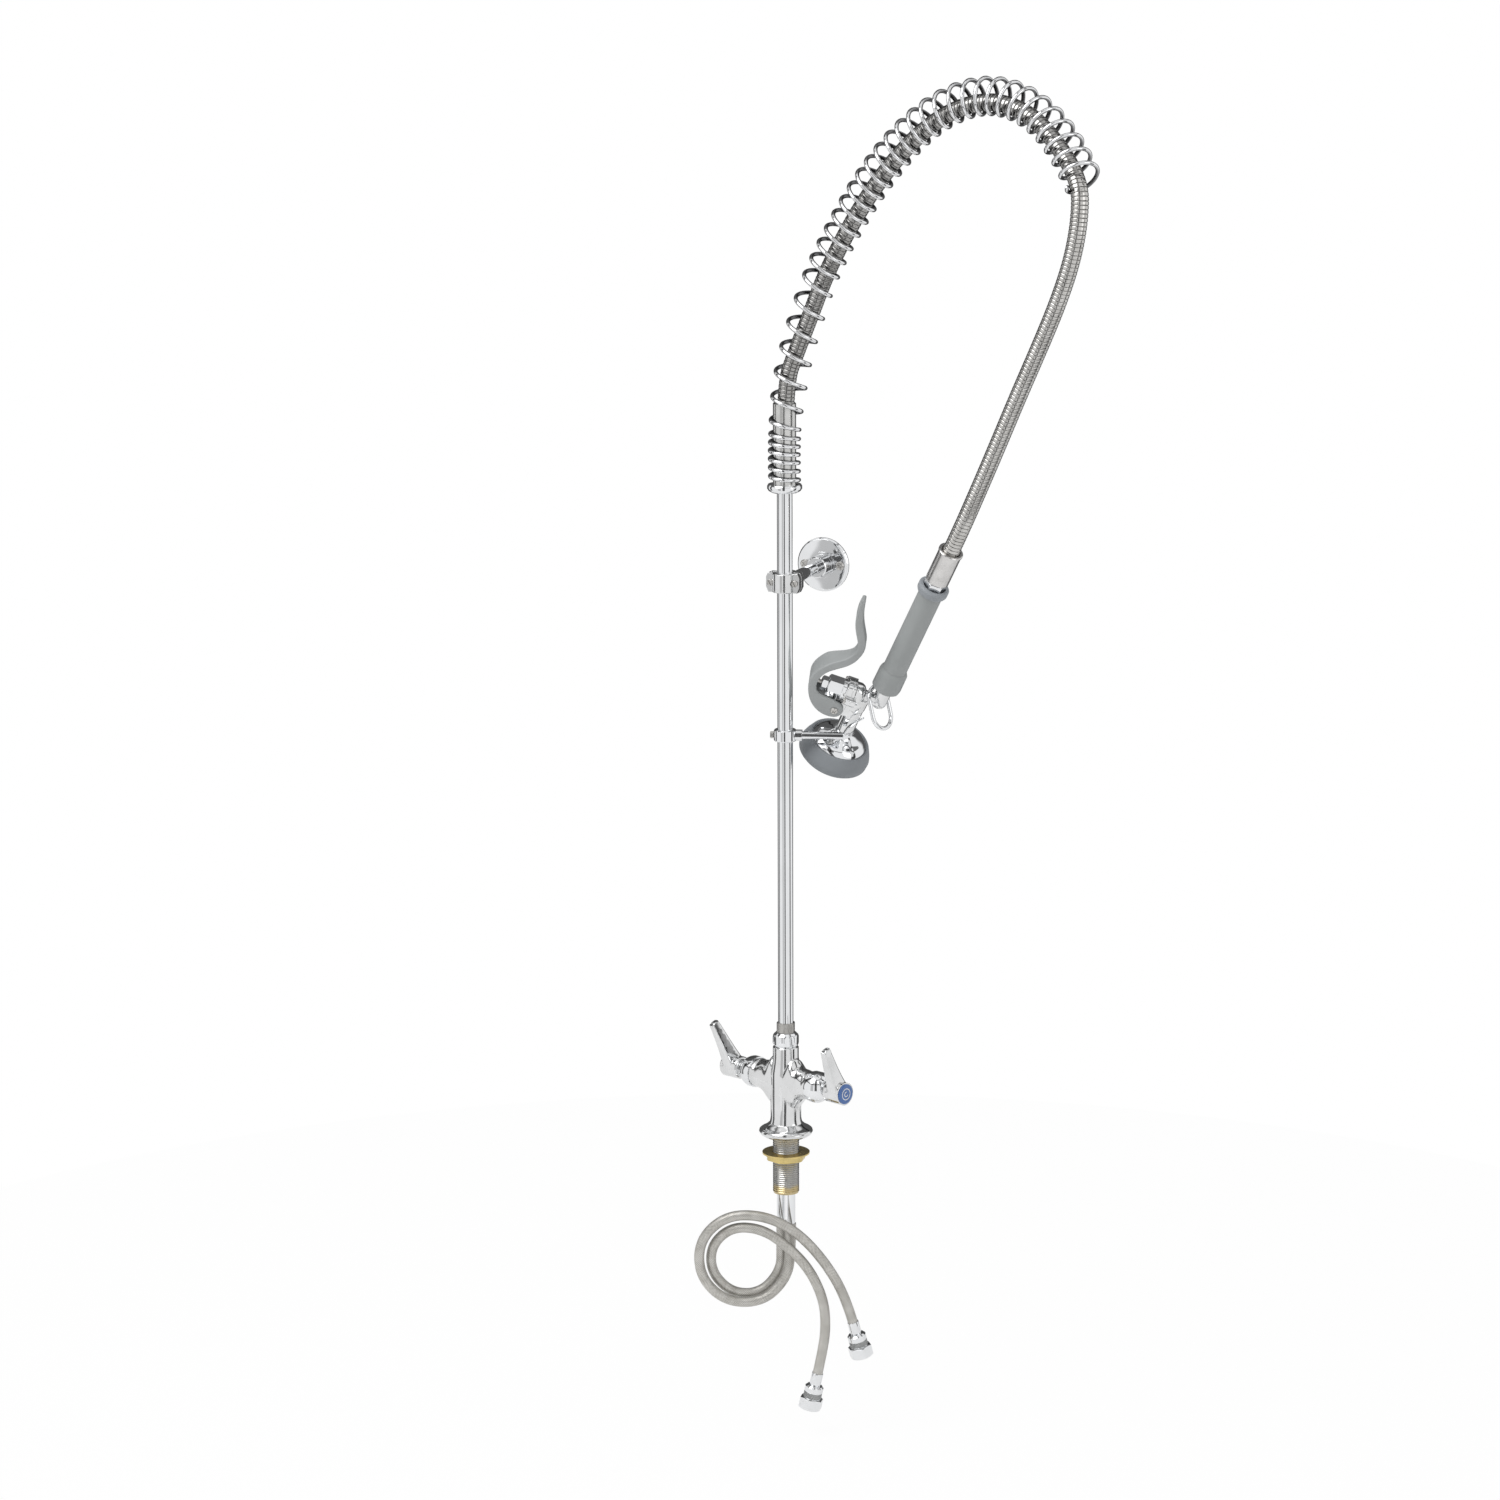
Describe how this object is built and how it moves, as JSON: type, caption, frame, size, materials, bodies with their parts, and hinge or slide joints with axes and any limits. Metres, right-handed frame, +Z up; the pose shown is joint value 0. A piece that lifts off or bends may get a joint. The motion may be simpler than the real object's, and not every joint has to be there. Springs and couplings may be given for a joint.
{
  "type": "pre rinse faucet",
  "caption": "Deck-mounted pre-rinse faucet: lever handles, riser with wall bracket, spring-carried overhead hose, squeeze-lever spray valve, finger hook and braided supply hoses.",
  "frame": {"origin": "centre of the deck flange's underside, on the riser axis", "axes": "+Z up along the riser, the handles lie along X with the cold one at +X, -Y is the front"},
  "size_m": [0.4573, 0.2236, 1.5099],
  "materials": {
    "chrome": "polished chrome plate on brass",
    "spring_chrome": "bright plated spring wire",
    "ribbed_steel": "rolled stainless steel hose, satin",
    "nickel": "dull nickel plate",
    "brass": "plain turned brass",
    "steel_screw": "bright steel",
    "grip_grey": "satin grey plastic",
    "bumper_rubber": "matt blue-grey rubber",
    "face_plastic": "satin black",
    "hot_red": "gloss red",
    "cold_blue": "gloss blue",
    "braid": "braided sleeve, warm light grey"
  },
  "bodies": {
    "base": {"faucet_body": "chrome", "threaded_shank": "brass", "hot_supply_tube": "chrome", "hot_bonnet": "chrome", "hot_supply_hose": "braid", "hot_hose_ferrule": "steel_screw", "hot_hose_collar": "nickel", "cold_supply_tube": "chrome", "cold_bonnet": "chrome", "cold_supply_hose": "braid", "cold_hose_ferrule": "steel_screw", "cold_hose_collar": "nickel", "riser_nut": "chrome", "bracket_clamp_front": "chrome", "bracket_clamp_back": "chrome", "bracket_clamp_screws": "steel_screw", "bracket_rod": "chrome", "wall_flange": "chrome", "wall_screws": "steel_screw"},
    "hot_handle": {"hot_lever": "chrome", "hot_stem": "brass", "hot_handle_screw": "steel_screw", "hot_index_button": "hot_red"},
    "cold_handle": {"cold_lever": "chrome", "cold_stem": "brass", "cold_handle_screw": "steel_screw", "cold_index_button": "cold_blue"},
    "locknut": {"shank_locknut": "brass", "deck_washer": "brass"},
    "hot_coupling": {"hot_coupling_nut": "nickel"},
    "cold_coupling": {"cold_coupling_nut": "nickel"},
    "riser": {"riser_pipe": "chrome", "lock_ring": "nickel", "spring_nut": "chrome", "hose_foot_ferrule": "nickel", "overhead_spring": "spring_chrome", "spray_hose": "ribbed_steel"},
    "hook": {"hook_collar": "chrome", "hook_screw": "steel_screw", "finger_hook": "chrome"},
    "spray_valve": {"grip_sleeve": "grip_grey", "grip_end_ring": "bumper_rubber", "grip_tube": "brass", "swivel_nut": "chrome", "spray_hose_ferrule": "chrome", "valve_body": "chrome", "bonnet_plate": "chrome", "bonnet_plate_screws": "steel_screw", "bonnet_nut": "chrome", "packing_nut": "chrome", "pivot_screw": "steel_screw", "spray_bell": "chrome", "bumper_ring": "bumper_rubber", "spray_face": "face_plastic", "spray_face_screw": "steel_screw"},
    "trigger": {"squeeze_lever": "grip_grey"},
    "stem": {"valve_stem": "steel_screw"},
    "hold_ring": {"hold_ring": "chrome"}
  },
  "joints": [
    {"name": "riser_swivel", "type": "hinge", "parent": "base", "child": "riser", "pos_m": [0, 0, 0.11], "axis": [0, 0, 1], "range_deg": [-150, 28]},
    {"name": "hot_handle_turn", "type": "hinge", "parent": "base", "child": "hot_handle", "pos_m": [-0.06, 0, 0.0655], "axis": [1, 0, 0], "range_deg": [0, 90]},
    {"name": "cold_handle_turn", "type": "hinge", "parent": "base", "child": "cold_handle", "pos_m": [0.06, 0, 0.0655], "axis": [1, 0, 0], "range_deg": [0, 90]},
    {"name": "locknut_travel", "type": "slide", "parent": "base", "child": "locknut", "axis": [0, 0, 1], "range_m": [-0.036, 0.018]},
    {"name": "hot_coupling_turn", "type": "hinge", "parent": "base", "child": "hot_coupling", "pos_m": [0.03364, 0.00391, -0.30961], "axis": [-0.185, -0.1178, -0.9757], "continuous": true},
    {"name": "cold_coupling_turn", "type": "hinge", "parent": "base", "child": "cold_coupling", "pos_m": [0.07042, 0.04817, -0.25035], "axis": [0.1114, 0.2352, -0.9655], "continuous": true},
    {"name": "hook_turn", "type": "hinge", "parent": "riser", "child": "hook", "pos_m": [0, 0, 0.4594], "axis": [0, 0, 1], "range_deg": [-60, 0]},
    {"name": "spray_valve_pull", "type": "slide", "parent": "riser", "child": "spray_valve", "axis": [-0.6947, 0.7193, 0], "range_m": [0, 0.05], "stiffness_N_per_m": 60, "deforming": ["spray_hose"]},
    {"name": "trigger_squeeze", "type": "hinge", "parent": "spray_valve", "child": "trigger", "pos_m": [0.03803, 0.04019, 0.49476], "axis": [-0.542, 0.709, 0.4512], "range_deg": [0, 14], "stiffness_Nm_per_rad": 3, "springref_deg": -8.59},
    {"name": "stem_push", "type": "slide", "parent": "spray_valve", "child": "stem", "axis": [0.6301, 0.6981, -0.34], "range_m": [0, 0.0075]},
    {"name": "hold_ring_swing", "type": "hinge", "parent": "spray_valve", "child": "hold_ring", "pos_m": [0.07405, 0.06696, 0.51468], "axis": [0.0233, -0.9996, 0.0164], "range_deg": [0, 15]}
  ],
  "couplings": [
    {"joint": "stem_push", "follows": "trigger_squeeze", "m_per_rad": 0.0288}
  ]
}
